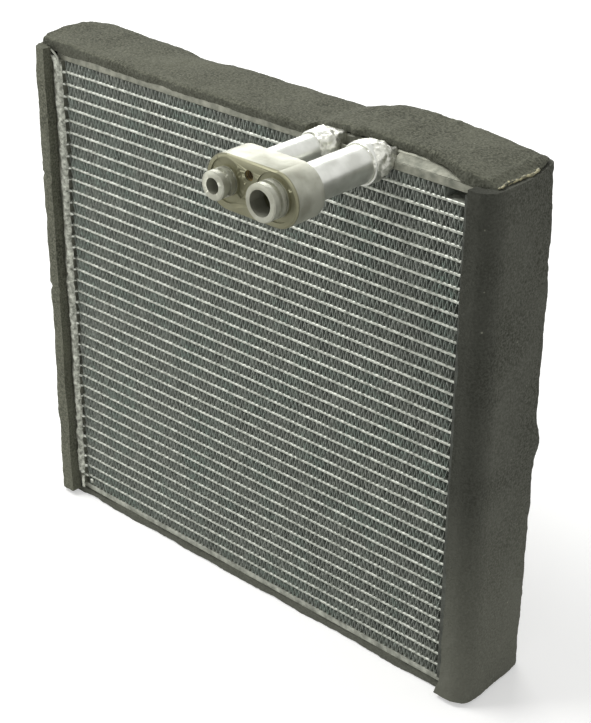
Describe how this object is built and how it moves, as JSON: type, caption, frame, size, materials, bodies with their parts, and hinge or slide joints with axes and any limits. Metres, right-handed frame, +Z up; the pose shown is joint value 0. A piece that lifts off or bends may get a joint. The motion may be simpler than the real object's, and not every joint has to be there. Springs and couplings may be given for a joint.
{
  "type": "evaporator core",
  "caption": "Flat brazed aluminium evaporator core with level tubes and folded fins, side tanks wrapped in foam, and two pipes that end in a connector block.",
  "frame": {"origin": "on the resting surface under the core, centred on the length and the depth of the core", "axes": "+X along the tubes to the side with the ports, +Z up the stack of tubes, and -Y out of the ports, against the side that the pipes stand out of"},
  "size_m": [0.2998, 0.1178, 0.2763],
  "materials": {
    "core": "mill finish, brazed",
    "sheet": "dull, brazed",
    "braze": "rough braze metal",
    "pipe": "satin drawn tube",
    "block": "machined",
    "foam": "matt open-cell foam"
  },
  "bodies": {
    "root": {"tube_and_fin_01": "core", "tube_and_fin_02": "core", "tube_and_fin_03": "core", "tube_and_fin_04": "core", "tube_and_fin_05": "core", "tube_and_fin_06": "core", "tube_and_fin_07": "core", "tube_and_fin_08": "core", "tube_and_fin_09": "core", "tube_and_fin_10": "core", "tube_and_fin_11": "core", "tube_and_fin_12": "core", "tube_and_fin_13": "core", "tube_and_fin_14": "core", "tube_and_fin_15": "core", "tube_and_fin_16": "core", "tube_and_fin_17": "core", "tube_and_fin_18": "core", "tube_and_fin_19": "core", "tube_and_fin_20": "core", "tube_and_fin_21": "core", "tube_and_fin_22": "core", "tube_and_fin_23": "core", "tube_and_fin_24": "core", "tube_and_fin_25": "core", "tube_and_fin_26": "core", "tube_and_fin_27": "core", "tube_and_fin_28": "core", "tube_and_fin_29": "core", "tube_and_fin_30": "core", "tube_and_fin_31": "core", "tube_and_fin_32": "core", "tube_and_fin_33": "core", "tube_and_fin_34": "core", "tube_and_fin_35": "core", "tube_and_fin_36": "core", "tube_and_fin_37": "core", "tube_and_fin_38": "core", "top_side_plate": "sheet", "bottom_side_plate": "sheet", "left_header_plate": "sheet", "right_header_plate": "sheet", "left_tank": "sheet", "right_tank": "sheet", "left_top_end_cap": "sheet", "left_bottom_end_cap": "sheet", "right_top_end_cap": "sheet", "right_bottom_end_cap": "sheet", "right_tank_divider": "sheet", "flow_duct": "sheet", "suction_stub": "braze", "liquid_stub": "braze", "suction_pipe": "pipe", "liquid_pipe": "pipe", "connector_block": "block", "foam_left": "foam", "foam_right": "foam", "foam_top": "foam", "foam_bottom": "foam"}
  },
  "joints": []
}
